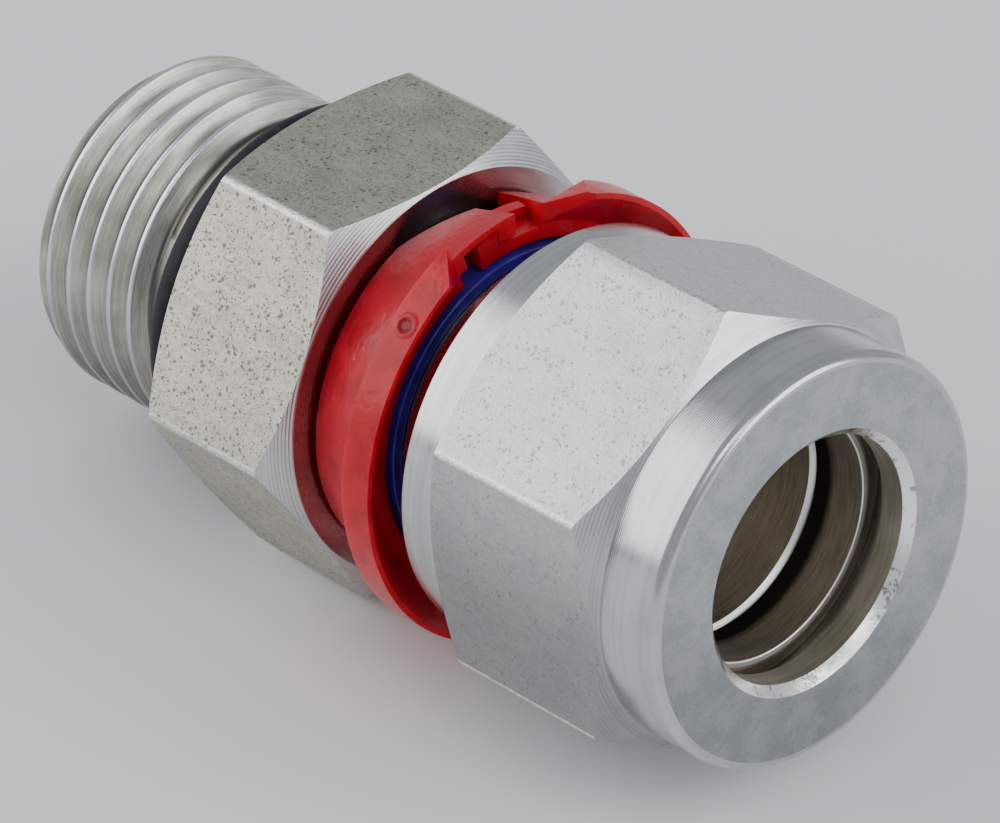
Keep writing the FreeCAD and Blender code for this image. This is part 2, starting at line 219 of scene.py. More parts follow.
def thread_skin(name, crest_radius, root_radius, crest_highlight, flank, dark):
    """A cut thread: narrow crests in a painted highlight, oily flanks streaked round the axis,
    darker roots, and painted shade towards the lower left.
    """
    skin = Finish(name, Metallic=1.0)
    section = skin.at(skin.x, skin.radius, (skin.y + skin.z) * 0.03)
    streaks = skin.noise(section, 8.0, 4.0, 0.75)
    film = skin.noise(skin.place, 0.5, 3.0)
    oily = skin.blend((streaks * 0.6 + film * 0.4).step(0.36, 0.64), dark, flank)
    root = skin.radius.step(root_radius + 0.02, root_radius + 0.16)
    darkened = [part * 0.35 for part in dark]
    # Painted highlight: the bright crest colour lies on the crests.
    top = skin.radius.step(crest_radius - 0.08, crest_radius - 0.03)
    roughness = top.step(0.0, 1.0, 0.26, 0.14) + 0.12 * streaks
    colour = skin.blend(top, skin.blend(root, darkened, oily), crest_highlight)
    # Painted shade towards the lower left.
    return skin.wear(skin.darkened(colour, 0.55), roughness, streaks, 0.012)


def edge_skin(name, bright, worn, rough, scale=5.0, share=0.5, depth=0.05):
    """An edge that was knocked or cut roughly: bright, with ragged duller patches."""
    skin = Finish(name, Metallic=1.0)
    ragged = skin.noise(skin.place, scale, 4.0, 0.7)
    colour = skin.blend(ragged.step(share - 0.08, share + 0.02), worn, bright)
    return skin.wear(colour, rough + 0.2 * ragged, ragged, depth)


def rounded(outline, arc_points=4):
    """An outline of (along, radius, rounding) corners with each rounding drawn as an arc."""
    points = []
    count = len(outline)
    for index, corner in enumerate(outline):
        here = Vector(corner[:2])
        size = corner[2] if len(corner) > 2 else 0.0
        if not size:
            points.append(here)
            continue
        back = (Vector(outline[index - 1][:2]) - here).normalized()
        ahead = (Vector(outline[(index + 1) % count][:2]) - here).normalized()
        half = back.angle(ahead) / 2
        start = here + back * (size / math.tan(half))
        middle = here + (back + ahead).normalized() * (size / math.sin(half))
        sweep = (start - middle).angle_signed(here + ahead * (size / math.tan(half)) - middle)
        for step in range(arc_points + 1):
            turn_by = Matrix.Rotation(-sweep * step / arc_points, 2)
            points.append(middle + turn_by @ (start - middle))
    return points


def turned(outline, first=0.0, sweep=360.0, steps=ROUND_STEPS):
    """Spin a closed outline of (along, radius) round X, by a full turn or part of one."""
    bm = bmesh.new()
    corners = [bm.verts.new((x * MM, r * MM, 0)) for x, r in outline]
    whole = sweep == 360.0
    if whole:
        for pair in zip(corners, corners[1:] + corners[:1]):
            bm.edges.new(pair)
    else:
        bm.faces.new(corners)
    start = Matrix.Rotation(math.radians(first), 4, "X")
    bmesh.ops.transform(bm, matrix=start, verts=bm.verts[:])
    bmesh.ops.spin(
        bm, geom=bm.verts[:] + bm.edges[:] + bm.faces[:], cent=(0, 0, 0), axis=(1, 0, 0),
        dvec=(0, 0, 0), angle=math.radians(sweep), steps=steps, use_merge=whole,
    )
    bmesh.ops.recalc_face_normals(bm, faces=bm.faces[:])
    return bm


def cut_flats(bm, corner, flats, material):
    """Saw six flats off a turned blank and close each cut with one face."""
    for side in range(6):
        angle = math.radians(corner + 30 + 60 * side)
        normal = Vector((0, math.cos(angle), math.sin(angle)))
        cut = bmesh.ops.bisect_plane(
            bm, geom=bm.verts[:] + bm.edges[:] + bm.faces[:], dist=CUT_TOLERANCE,
            plane_co=normal * (flats / 2 * MM), plane_no=normal, clear_outer=True,
        )
        rim = [item for item in cut["geom_cut"] if isinstance(item, bmesh.types.BMEdge)]
        made = bmesh.ops.edgeloop_fill(bm, edges=rim)
        for face in made["faces"]:
            face.material_index = material
    bmesh.ops.recalc_face_normals(bm, faces=bm.faces[:])


def break_edges(bm, width, flat, material):
    """Bevel the long edges between the flats of a hexagon, as bar has them."""
    edges = [
        edge for edge in bm.edges
        if [face.material_index for face in edge.link_faces] == [flat, flat]
    ]
    bmesh.ops.bevel(
        bm, geom=edges, offset=width * MM, affect="EDGES", segments=3, profile=0.5,
        material=material,
    )


def paint_turned(bm, choose):
    """Give each turned face the material that choose returns for its place and radius."""
    for face in bm.faces:
        middle = face.calc_center_median() / MM
        face.material_index = choose(middle.x, math.hypot(middle.y, middle.z))


# One pitch of a thread as (share of the pitch, share of the depth): a narrow flat crest.
THREAD_FORM = (
    (0.0, 0.0), (0.06, 0.0), (0.10, 0.05), (0.40, 0.93), (0.42, 0.98), (0.44, 1.0),
    (0.56, 1.0), (0.58, 0.98), (0.60, 0.93), (0.90, 0.05), (0.94, 0.0), (1.0, 0.0),
)


def thread(start, end, root, depth, pitch, core, cap):
    """A threaded sleeve: one pitch of the form is spun up a right-hand helix and trimmed.
    cap gives the largest or smallest radius allowed at each place, for bevels and run-outs."""
    turns = math.ceil((end - start) / pitch) + 2
    bm = bmesh.new()
    chain = [
        bm.verts.new(((start - pitch + share * pitch) * MM, (root + rise * depth) * MM, 0))
        for share, rise in THREAD_FORM
    ]
    links = [bm.edges.new(pair) for pair in zip(chain, chain[1:])]
    bmesh.ops.spin(
        bm, geom=chain + links, cent=(0, 0, 0), axis=(1, 0, 0),
        dvec=(pitch / ROUND_STEPS * MM, 0, 0), angle=2 * math.pi * turns,
        steps=ROUND_STEPS * turns, use_merge=False,
    )
    bmesh.ops.remove_doubles(bm, verts=bm.verts[:], dist=MERGE_DISTANCE)
    for place, side in ((start, -1), (end, 1)):
        bmesh.ops.bisect_plane(
            bm, geom=bm.verts[:] + bm.edges[:] + bm.faces[:], dist=CUT_TOLERANCE,
            plane_co=(place * MM, 0, 0), plane_no=(side, 0, 0), clear_outer=True,
        )
    for vert in bm.verts:
        radius = math.hypot(vert.co.y, vert.co.z) / MM
        allowed = cap(vert.co.x / MM, radius)
        vert.co.y *= allowed / radius
        vert.co.z *= allowed / radius
    rims = [edge for edge in bm.edges if edge.is_boundary]
    for side in (start, end):
        rim = [edge for edge in rims if abs(edge.verts[0].co.x / MM - side) < 0.01]
        made = bmesh.ops.extrude_edge_only(bm, edges=rim)["geom"]
        for vert in [item for item in made if isinstance(item, bmesh.types.BMVert)]:
            scale = core * MM / math.hypot(vert.co.y, vert.co.z)
            vert.co.y *= scale
            vert.co.z *= scale
    rims = [edge for edge in bm.edges if edge.is_boundary]
    bmesh.ops.bridge_loops(bm, edges=rims)
    bmesh.ops.recalc_face_normals(bm, faces=bm.faces[:])
    return bm


def piece(name, parts, materials):
    """One object from one or more bmeshes, smooth but for its sharp edges."""
    mesh = bpy.data.meshes.new(name)
    whole = bmesh.new()
    for bm in parts:
        part = bpy.data.meshes.new(name + "_part")
        bm.to_mesh(part)
        bm.free()
        whole.from_mesh(part)
        bpy.data.meshes.remove(part)
    whole.to_mesh(mesh)
    whole.free()
    for material in materials:
        mesh.materials.append(material)
    mesh.shade_smooth()
    mesh.set_sharp_from_angle(angle=SHARP_ANGLE)
    made = bpy.data.objects.new(name, mesh)
    bpy.context.scene.collection.objects.link(made)
    flat_first = made.modifiers.new("flats_stay_flat", "WEIGHTED_NORMAL")
    flat_first.keep_sharp = True
    return made


# All sizes are in millimetres. A place is counted along X from the hexagon's stud side, and an
# angle in degrees round X, from +Y towards +Z.
BODY_CORNER = 240
HEX_FLATS = 22.225
HEX_LENGTH = 9.9
HEX_FACE = 10.98
CHAMFER_SLOPE = math.tan(math.radians(30))
STUD_LENGTH = 12.3
STUD_RADIUS = 9.175
STUD_PITCH = 1.55
STUD_DEPTH = 0.93
STUD_BEVEL = 0.75
RELIEF_LENGTH = 0.5
RELIEF_STEP = 0.25
RELIEF_SLOPE = 0.9
SEAL_FLOOR = 8.05
SEAL_GROOVE = 2.8
NECK_RADIUS = 8.1
NECK_END = 15.5
COLLAR_RADIUS = 8.85
COLLAR_END = 17.0
SCREW_RADIUS = 9.375
SCREW_PITCH = 1.27
SCREW_DEPTH = 0.72
SCREW_END = 25.3
SCREW_BEVEL = 0.7
NOSE_RADIUS = 8.2
NOSE_END = 27.0
TUBE_BORE = 6.42
TUBE_STOP = 12.3
FLOW_RADIUS = 5.2
STUD_BORE = 6.2
STUD_BORE_END = 2.0
CONE_DEPTH = 2.3
CONE_SLOPE = math.tan(math.radians(20))
EDGE_BREAK = 0.25
BLANK_SPARE = 0.4
SLEEVE_LAP = 0.3
SLEEVE_WALL = 0.3
CORE_DEPTH = 0.5
CORE_END_DEPTH = 0.2
SCREW_CORE_DEPTH = 0.15
PAINT_MARGIN = 0.02

BODY_LIGHT = (0.60, 0.575, 0.485)
BODY_DARK = (0.40, 0.385, 0.33)
TURNED_LIGHT = (0.62, 0.63, 0.63)
TURNED_DARK = (0.44, 0.45, 0.46)
BORE_LIGHT = (0.86, 0.81, 0.71)
BORE_DARK = (0.62, 0.57, 0.48)

BODY_BAR, BODY_TURNED, BODY_CHAMFER, BODY_BORE, BODY_EDGE, BODY_THREAD = range(6)

blank = HEX_FLATS / 2 / math.cos(math.radians(30)) + BLANK_SPARE
chamfer = (blank - HEX_FACE) * CHAMFER_SLOPE
nose_mouth = TUBE_BORE + CONE_DEPTH * CONE_SLOPE
screw_core = SCREW_RADIUS - SCREW_DEPTH - SCREW_CORE_DEPTH
body_outline = rounded([
    (-STUD_LENGTH + CORE_END_DEPTH, STUD_BORE),
    (-STUD_LENGTH + CORE_END_DEPTH, SEAL_FLOOR - CORE_DEPTH),
    (-SEAL_GROOVE + SLEEVE_LAP, SEAL_FLOOR - CORE_DEPTH),
    (-SEAL_GROOVE + SLEEVE_LAP, SEAL_FLOOR),
    (0, SEAL_FLOOR, 0.15),
    (0, HEX_FACE, 0.05),
    (chamfer, blank),
    (HEX_LENGTH - chamfer, blank),
    (HEX_LENGTH, HEX_FACE, 0.05),
    (HEX_LENGTH, NECK_RADIUS, 0.2),
    (NECK_END, NECK_RADIUS),
    (NECK_END, COLLAR_RADIUS, 0.1),
    (COLLAR_END + CORE_DEPTH, COLLAR_RADIUS),
    (COLLAR_END + CORE_DEPTH, screw_core),
    (SCREW_END - SLEEVE_LAP, screw_core),
    (SCREW_END - SLEEVE_LAP, NOSE_RADIUS),
    (NOSE_END, NOSE_RADIUS, 0.25),
    (NOSE_END, nose_mouth, 0.08),
    (NOSE_END - CONE_DEPTH, TUBE_BORE),
    (TUBE_STOP, TUBE_BORE, 0.1),
    (TUBE_STOP, FLOW_RADIUS, 0.1),
    (STUD_BORE_END + 0.7, FLOW_RADIUS),
    (STUD_BORE_END, STUD_BORE),
])


def body_material(x, radius):
    """Chamfers outside, the bore inside and plain turning in between."""
    if radius > HEX_FACE + PAINT_MARGIN:
        return BODY_CHAMFER
    if radius < nose_mouth and x > STUD_BORE_END - STUD_LENGTH:
        return BODY_BORE
    return BODY_TURNED


body_core = turned(body_outline)
paint_turned(body_core, body_material)
cut_flats(body_core, BODY_CORNER, HEX_FLATS, BODY_BAR)
break_edges(body_core, EDGE_BREAK, BODY_BAR, BODY_EDGE)


def stud_cap(x, radius):
    """The bevel at the stud's end and the run-out of its thread towards the seal."""
    bevel = STUD_RADIUS - max(0.0, STUD_BEVEL - (x + STUD_LENGTH))
    before = max(0.0, -SEAL_GROOVE - RELIEF_LENGTH - x)
    runout = SEAL_FLOOR + RELIEF_STEP + RELIEF_SLOPE * before
    return min(radius, bevel, runout)


def screw_cap(x, radius):
    """The nut thread's run-out at the collar and the bevel at its front."""
    lead = COLLAR_RADIUS + max(0.0, x - COLLAR_END)
    end = SCREW_RADIUS - max(0.0, SCREW_BEVEL - (SCREW_END - x))
    return min(radius, lead, end)


stud_thread = thread(
    -STUD_LENGTH, -SEAL_GROOVE, STUD_RADIUS - STUD_DEPTH, STUD_DEPTH, STUD_PITCH,
    STUD_BORE + SLEEVE_WALL, stud_cap,
)
nut_thread = thread(
    COLLAR_END, SCREW_END, SCREW_RADIUS - SCREW_DEPTH, SCREW_DEPTH, SCREW_PITCH,
    NECK_RADIUS - SLEEVE_WALL, screw_cap,
)
for sleeve in (stud_thread, nut_thread):
    paint_turned(sleeve, lambda x, radius: BODY_THREAD)

body = piece(
    "connector_body_steel",
    [body_core, stud_thread, nut_thread],
    [
        bar_skin("body_bar_skin", BODY_LIGHT, BODY_DARK, 0.50, 0.52, 0.34, 0.1),
        lathe_skin("body_turned", TURNED_LIGHT, TURNED_DARK, 0.16),
        lathe_skin("body_chamfer", TURNED_LIGHT, TURNED_DARK, 0.20, 0.16, 0.010, 0.07, 1),
        bore_skin("body_bore", BORE_LIGHT, BORE_DARK, 0.38),
        edge_skin("body_edge", (0.85, 0.84, 0.80), BODY_LIGHT, 0.25),
        thread_skin(
            "body_thread", STUD_RADIUS, STUD_RADIUS - STUD_DEPTH,
            (0.74, 0.75, 0.76), (0.74, 0.72, 0.64), (0.44, 0.43, 0.38),
        ),
    ],
)
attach(body, "fitting_body")
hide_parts("connector_body")

# The seal. A rubber ring sits in the groove at the root of the stud, against the hexagon. It is
# moulded in one piece, satin black with a violet cast, and stretched over the thread into place.

SEAL_CORD = 1.1
SEAL_GAP = 0.05
SEAL_RADIUS = SEAL_FLOOR + SEAL_CORD + SEAL_GAP
SEAL_PLACE = -SEAL_CORD - SEAL_GAP
RUBBER_BLACK = (0.010, 0.008, 0.015)
RUBBER_DUSTY = (0.030, 0.026, 0.042)

seal_section = [
    (
        SEAL_PLACE + SEAL_CORD * math.cos(math.radians(turn)),
        SEAL_RADIUS + SEAL_CORD * math.sin(math.radians(turn)),
    )
    for turn in range(0, 360, 15)
]
rubber = Finish("seal_rubber", Specular_IOR_Level=0.22)
dust = rubber.noise(rubber.place, 1.3, 4.0, 0.6)
rubber_grain = rubber.noise(rubber.place, 25.0, 2.0)
rubber_colour = rubber.blend(dust.step(0.45, 0.8), RUBBER_BLACK, RUBBER_DUSTY)
seal = piece(
    "seal_ring",
    [turned(seal_section)],
    [rubber.wear(rubber_colour, 0.42 + 0.25 * dust, rubber_grain, 0.004)],
)
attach(seal, "fitting_body")
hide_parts("o_ring")

# The neck band. A thin blue plastic sleeve is pressed on the neck and marks the thread's kind.
# It shows between the red ring's cup and the nut.

BAND_START = 10.4
BAND_END = 14.75
BAND_RADIUS = 8.75
BAND_BORE = NECK_RADIUS + 0.05
BAND_SHADOW = (11.8, 12.6)
BLUE_DEEP = (0.020, 0.008, 0.20)
BLUE_BRIGHT = (0.038, 0.014, 0.34)
BLUE_SHADED_UNDER_RED = (0.03, 0.002, 0.012)

blue = Finish("blue_plastic")
blue_shade = blue.noise(blue.place, 0.8, 3.0)
blue_colour = blue.blend(blue_shade.step(0.3, 0.7), BLUE_DEEP, BLUE_BRIGHT)
# Painted shade: back of BAND_SHADOW, under the red ring, the band is a dark red shade.
blue_colour = blue.blend(blue.x.step(*BAND_SHADOW), BLUE_SHADED_UNDER_RED, blue_colour)
blue_grain = blue.noise(blue.place, 12.0, 2.0)
band = piece(
    "neck_band_blue",
    [turned(rounded([
        (BAND_START, BAND_BORE),
        (BAND_START, BAND_RADIUS, 0.15),
        (BAND_END, BAND_RADIUS, 0.15),
        (BAND_END, BAND_BORE),
    ]))],
    [blue.wear(blue_colour, 0.28 + 0.15 * blue_grain, blue_grain, 0.004)],
)
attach(band, "fitting_body")
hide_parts("neck_band")

# The red ring. It is moulded in glossy red plastic as a cone with a lip that opens in a funnel,
# and it is split at the top. One end is an arm that lies over a hook on the other end, so it
# snaps round the neck. A small crater on the lip is what the mould's gate left.

RING_START = 10.2
RING_BORE = 9.05
RING_BACK = 9.75
RING_FRONT = 11.05
RING_CONE = 14.55
LIP_RADIUS = 12.0
LIP_FRONT = 16.4
LIP_EDGE = 0.3
FUNNEL_RADIUS = 9.9
SPLIT_LEFT = 108.7
SPLIT_RIGHT = 76.2
LIP_RUNOUT = 1.75
RAMP_BACK = 10.7
RAMP_FRONT = 11.35
TONGUE_SLANT = 1.45
ARM_END = 86.1
ARM_BACK = 11.7
ROOT_BACK = 11.1
ARM_FLOOR = 9.85
ARM_WALL = 0.4
ARM_FOOT_SHARE = 0.6
NEAR = 0.05
HOOK_END = 100.2
HOOK_BACK = 13.15
HEEL_END = 105.2
BARB_ANGLE = 7.2
LATCH_GAP = 0.12
LATCH_PLAY = 0.6
FINGER_END = 74.9
FINGER_BACK = 12.6
FINGER_WIDTH = 0.65
FINGER_WALL = 0.5
PAST = 1.1  # a cut through the lip runs on past its front, to this share of its length
HAIR = 0.001  # a cut's face stays this far from the ring's own planes
CUT_LOW = 8.0
CUT_HIGH = 14.0
LAP_ANGLE = 1.0
MOULD_ROUND = 0.09
GATE_PLACE = 15.5
GATE_ANGLE = math.radians(130.0)
RED_DEEP = (0.42, 0.002, 0.011)
RED_BRIGHT = (0.56, 0.004, 0.020)
RED_CRATER = (0.22, 0.001, 0.003)


def cone_radius(x):
    """The outer radius of the ring's cone at a place along the axis."""
    return RING_BACK + (x - RING_START) * (RING_FRONT - RING_BACK) / (RING_CONE - RING_START)


def joined(name, first, others, operation="UNION"):
    """Fuse or cut one bmesh with others and give the result back as a bmesh."""
    base = piece(name + "_base", [first], [])
    for number, other in enumerate(others):
        tool = piece(f"{name}_{number}", [other], [])
        step = base.modifiers.new("fuse", "BOOLEAN")
        step.operation = operation
        step.solver = "EXACT"
        step.object = tool
    solved = base.evaluated_get(bpy.context.evaluated_depsgraph_get()).to_mesh()
    result = bmesh.new()
    result.from_mesh(solved)
    for number in range(len(others)):
        bpy.data.objects.remove(bpy.data.objects[f"{name}_{number}"])
    bpy.data.objects.remove(base)
    return result


def wedge(angle, corners, low, high):
    """A prism over (along, round the ring) corners, standing outwards at an angle."""
    bm = bmesh.new()
    face = bm.faces.new([bm.verts.new((x * MM, y * MM, low * MM)) for x, y in corners])
    made = bmesh.ops.extrude_face_region(bm, geom=[face])["geom"]
    lifted = [item for item in made if isinstance(item, bmesh.types.BMVert)]
    bmesh.ops.translate(bm, verts=lifted, vec=(0, 0, (high - low) * MM))
    stand = Matrix.Rotation(math.radians(angle - 90), 4, "X")
    bmesh.ops.transform(bm, matrix=stand, verts=bm.verts[:])
    bmesh.ops.recalc_face_normals(bm, faces=bm.faces[:])
    return bm


ring_section = [
    (RING_START, RING_BORE),
    (RING_START, RING_BACK),
    (RING_CONE, RING_FRONT),
    (RING_CONE, LIP_RADIUS),
    (LIP_FRONT, LIP_RADIUS),
    (LIP_FRONT, LIP_RADIUS - LIP_EDGE),
    (RING_CONE, FUNNEL_RADIUS),
    (RING_CONE, RING_BORE),
]
ring_main = turned(ring_section, SPLIT_LEFT, 360 - SPLIT_LEFT + SPLIT_RIGHT)
reach = RING_CONE + PAST * (LIP_FRONT - RING_CONE)
ring_cuts = []
for angle, side in ((SPLIT_LEFT, -1), (SPLIT_RIGHT, 1)):
    ring_cuts.append(wedge(angle, [
        (RING_CONE + HAIR, 0),
        (RING_CONE + HAIR, -side * LIP_EDGE),
        (reach, -side * LIP_EDGE),
        (reach, side * PAST * LIP_RUNOUT),
    ], CUT_LOW, CUT_HIGH))
ring_cuts.append(wedge(SPLIT_RIGHT, [
    (RING_START - LIP_EDGE, -LIP_EDGE),
    (RING_CONE, -LIP_EDGE),
    (RING_CONE, 0),
    (RING_START - LIP_EDGE, TONGUE_SLANT),
], CUT_LOW, CUT_HIGH))
ring_cuts.append(wedge(0, [
    (RING_CONE - HAIR, -RAMP_BACK),
    (RING_CONE - HAIR, -CUT_HIGH),
    (reach, -CUT_HIGH),
    (reach, -RAMP_BACK - PAST * (RAMP_FRONT - RAMP_BACK)),
], 0.0, CUT_HIGH))
ring_main = joined("ring_cut", ring_main, ring_cuts, "DIFFERENCE")
arm = turned([
    (ROOT_BACK, ARM_FLOOR),
    (ROOT_BACK, cone_radius(ROOT_BACK)),
    (RING_CONE, RING_FRONT),
    (RING_CONE, ARM_FLOOR),
], ARM_END, SPLIT_LEFT + LAP_ANGLE - ARM_END, 24)
# The arm's back edge slants from its tip to the ring's own back.
for vert in arm.verts:
    if vert.co.x < (ROOT_BACK + NEAR) * MM:
        angle = math.degrees(math.atan2(vert.co.z, vert.co.y))
        share = min(1.0, (angle - ARM_END) / (SPLIT_LEFT - ARM_END))
        place = ARM_BACK - (ARM_BACK - RING_START - NEAR) * share
        radius = math.hypot(vert.co.y, vert.co.z) / MM
        wall = ARM_WALL * ARM_FOOT_SHARE if radius < ARM_FLOOR + NEAR else 0.0
        grow = (cone_radius(place) - wall) / radius
        vert.co = (place * MM, vert.co.y * grow, vert.co.z * grow)
finger = turned([
    (FINGER_BACK, ARM_FLOOR),
    (FINGER_BACK, ARM_FLOOR + FINGER_WALL),
    (FINGER_BACK + FINGER_WIDTH, ARM_FLOOR + FINGER_WALL),
    (FINGER_BACK + FINGER_WIDTH, ARM_FLOOR),
], FINGER_END, ARM_END - FINGER_END + LAP_ANGLE, 8)
ring_solid = joined("ring_fuse", ring_main, [arm, finger])
room_back = HOOK_BACK - LATCH_GAP
room_front = RING_CONE + LATCH_GAP
barb_from = HOOK_END - BARB_ANGLE
barb_room = turned([
    (room_back, ARM_FLOOR - LATCH_GAP),
    (room_back, cone_radius(room_back) - ARM_WALL),
    (room_front, cone_radius(room_front) - ARM_WALL),
    (room_front, ARM_FLOOR - LATCH_GAP),
], barb_from - LATCH_PLAY, HEEL_END - HOOK_END + BARB_ANGLE + LATCH_PLAY, 8)
ring_solid = joined("ring_room", ring_solid, [barb_room], "DIFFERENCE")
hook_top = ARM_FLOOR - LATCH_GAP
barb_low = cone_radius(HOOK_BACK) - ARM_WALL - LATCH_GAP
barb_high = cone_radius(RING_CONE) - ARM_WALL - LATCH_GAP
ring_solid = joined("ring_whole", ring_solid, [
    turned([
        (HOOK_BACK, RING_BORE),
        (HOOK_BACK, hook_top),
        (RING_CONE, hook_top),
        (RING_CONE, RING_BORE),
    ], SPLIT_RIGHT - LAP_ANGLE, HOOK_END - SPLIT_RIGHT + LAP_ANGLE, 16),
    turned([
        (HOOK_BACK, RING_BORE),
        (HOOK_BACK, barb_low),
        (RING_CONE, barb_high),
        (RING_CONE, RING_BORE),
    ], barb_from, BARB_ANGLE, 6),
])
bmesh.ops.remove_doubles(ring_solid, verts=ring_solid.verts[:], dist=MERGE_DISTANCE)
bmesh.ops.dissolve_limit(
    ring_solid, angle_limit=math.radians(0.5), verts=ring_solid.verts[:],
    edges=ring_solid.edges[:],
)

red = Finish(
    "red_plastic", Subsurface_Weight=0.40, Subsurface_Scale=0.003, Specular_IOR_Level=0.30
)
red_shade = red.noise(red.place, 0.6, 3.0)
red_colour = red.blend(red_shade.step(0.3, 0.7), RED_DEEP, RED_BRIGHT)
red_grain = red.noise(red.place, 2.2, 3.0)
gate_place = (
    GATE_PLACE, LIP_RADIUS * math.cos(GATE_ANGLE), LIP_RADIUS * math.sin(GATE_ANGLE)
)
from_gate = red.node(
    "ShaderNodeVectorMath", {0: red.place, 1: gate_place}, "Value", operation="DISTANCE"
)
gate_edge = from_gate + red_grain * 0.25
crater = gate_edge.step(0.30, 0.62) - gate_edge.step(0.62, 0.95, 0.0, 0.6)
red_look = red.blend(gate_edge.step(0.35, 0.80), RED_CRATER, red_colour)
ring = piece(
    "indicator_ring_red",
    [ring_solid],
    [red.wear(red_look, 0.16 + 0.16 * red_grain, red_grain * 0.3 + crater, 0.12)],
)
soft_edges = ring.modifiers.new("moulded_edges", "BEVEL")
soft_edges.width = MOULD_ROUND * MM
soft_edges.segments = 2
soft_edges.limit_method = "ANGLE"
soft_edges.angle_limit = math.radians(38)
ring.modifiers.move(len(ring.modifiers) - 1, 0)  # the edges are rounded first
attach(ring, "plastic_ring")
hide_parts("indicator_ring")

# The ferrules. Two turned rings lie inside the nut: the front one seals in the body's cone and
# the back one grips the tube. Only their bright edges show through the tube hole.

FERRULE_RADIUS = 8.15
FRONT_START = 25.35
FRONT_TAPER = 3.0
FRONT_LENGTH = 4.3
FRONT_SEAT = 1.15
FRONT_GAP = 0.05
BACK_START = 28.95
BACK_REAR = 32.15
BACK_ENTRY = 0.85
BACK_SHOULDER = 0.93
BACK_FLANGE = 1.7
BACK_EDGE = 0.3
FERRULE_BRIGHT = (0.95, 0.95, 0.95)
FERRULE_LIGHT = (0.78, 0.72, 0.65)
FERRULE_DARK = (0.56, 0.50, 0.45)
FERRULE_OILY = (0.05, 0.042, 0.038)

front_nose = TUBE_BORE + (FRONT_START - NOSE_END + CONE_DEPTH) * CONE_SLOPE - FRONT_GAP
front_ring = turned(rounded([
    (FRONT_START, TUBE_BORE, 0.04),
    (FRONT_START, front_nose, 0.04),
    (FRONT_START + FRONT_TAPER, front_nose + FRONT_TAPER * CONE_SLOPE),
    (FRONT_START + FRONT_TAPER, FERRULE_RADIUS, 0.1),
    (FRONT_START + FRONT_LENGTH, FERRULE_RADIUS, 0.1),
    (FRONT_START + FRONT_LENGTH, TUBE_BORE + FRONT_SEAT, 0.05),
    (FRONT_START + FRONT_LENGTH - FRONT_SEAT, TUBE_BORE),
]))
back_slope = BACK_START + BACK_ENTRY + BACK_FLANGE
back_ring = turned(rounded([
    (BACK_START, TUBE_BORE, 0.05),
    (BACK_START, TUBE_BORE + BACK_EDGE, 0.05),
    (BACK_START + BACK_ENTRY, TUBE_BORE + BACK_SHOULDER),
    (BACK_START + BACK_ENTRY, FERRULE_RADIUS, 0.1),
    (back_slope, FERRULE_RADIUS, 0.1),
    (BACK_REAR, TUBE_BORE + BACK_EDGE, 0.05),
    (BACK_REAR, TUBE_BORE, 0.08),
]))


def ferrule_skin(name, low, high, bright_from):
    """Turned steel: black with oil up to low on the axis, clean from high, bright at the rear."""
    skin = Finish(name, Metallic=1.0)
    section = skin.at(skin.x, skin.radius, (skin.y + skin.z) * 0.05)
    streaks = skin.noise(section, 7.0, 4.0, 0.65)
    colour = skin.blend(streaks.step(0.35, 0.65), FERRULE_DARK, FERRULE_LIGHT)
    oily = (skin.x + streaks * 0.2).step(low, high)
    edge = skin.x.step(bright_from - 0.04, bright_from + 0.04)
    darkened = skin.blend(oily, FERRULE_OILY, colour)
    return skin.wear(skin.blend(edge, darkened, FERRULE_BRIGHT), 0.34 + 0.12 * streaks)


for name, bm, node, low, high, bright_from in (
    ("front_ferrule_steel", front_ring, "front_ferrule", 20.0, 21.0, 28.5),
    ("back_ferrule_steel", back_ring, "back_ferrule", 29.9, 30.5, BACK_REAR - 0.1),
):
    ferrule = piece(name, [bm], [ferrule_skin(name, low, high, bright_from)])
    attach(ferrule, "nut_slider")
    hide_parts(node)

# The nut. It is turned from the same hexagon bar, with a long round end at the tube hole and a
# short one behind, a thread inside and a slope that drives the ferrules. The flats are cleaner
# than the body's and the round end is polished.

NUT_FRONT = 17.6
NUT_END = 35.2
NUT_CORNER = 271.8
SKIRT_RADIUS = 10.93
SKIRT_END = 19.9
NUT_HEX_END = 31.55
NUT_HOLE = 6.55
NUT_ROOM = 8.3
NUT_SCREW_END = 27.4
NUT_SEAT = 31.6
NUT_LEAD = 0.7
NUT_BEVEL = 0.5
NUT_SCREW_GAP = 0.15
NUT_SCREW_SPARE = 0.2
NUT_LIGHT = (0.62, 0.62, 0.61)
NUT_DARK = (0.50, 0.51, 0.52)
NUT_BAR, NUT_TURNED, NUT_CHAMFER, NUT_FACE, NUT_BORE, NUT_EDGE, NUT_MOUTH = range(7)

nut_chamfer = (blank - SKIRT_RADIUS) * CHAMFER_SLOPE
nut_screw_root = SCREW_RADIUS + NUT_SCREW_GAP
nut_outline = rounded([
    (NUT_FRONT, nut_screw_root + NUT_LEAD, 0.05),
    (NUT_FRONT, SKIRT_RADIUS, 0.12),
    (SKIRT_END, SKIRT_RADIUS),
    (SKIRT_END + nut_chamfer, blank),
    (NUT_HEX_END - nut_chamfer, blank),
    (NUT_HEX_END, SKIRT_RADIUS),
    (NUT_END, SKIRT_RADIUS, 0.5),
    (NUT_END, NUT_HOLE + NUT_BEVEL, 0.06),
    (NUT_END - NUT_BEVEL, NUT_HOLE, 0.06),
    (NUT_SEAT + NUT_ROOM - NUT_HOLE, NUT_HOLE),
    (NUT_SEAT, NUT_ROOM),
    (NUT_SCREW_END, NUT_ROOM),
    (NUT_SCREW_END, nut_screw_root + NUT_SCREW_SPARE),
    (NUT_FRONT + NUT_BEVEL, nut_screw_root + NUT_SCREW_SPARE),
], 6)


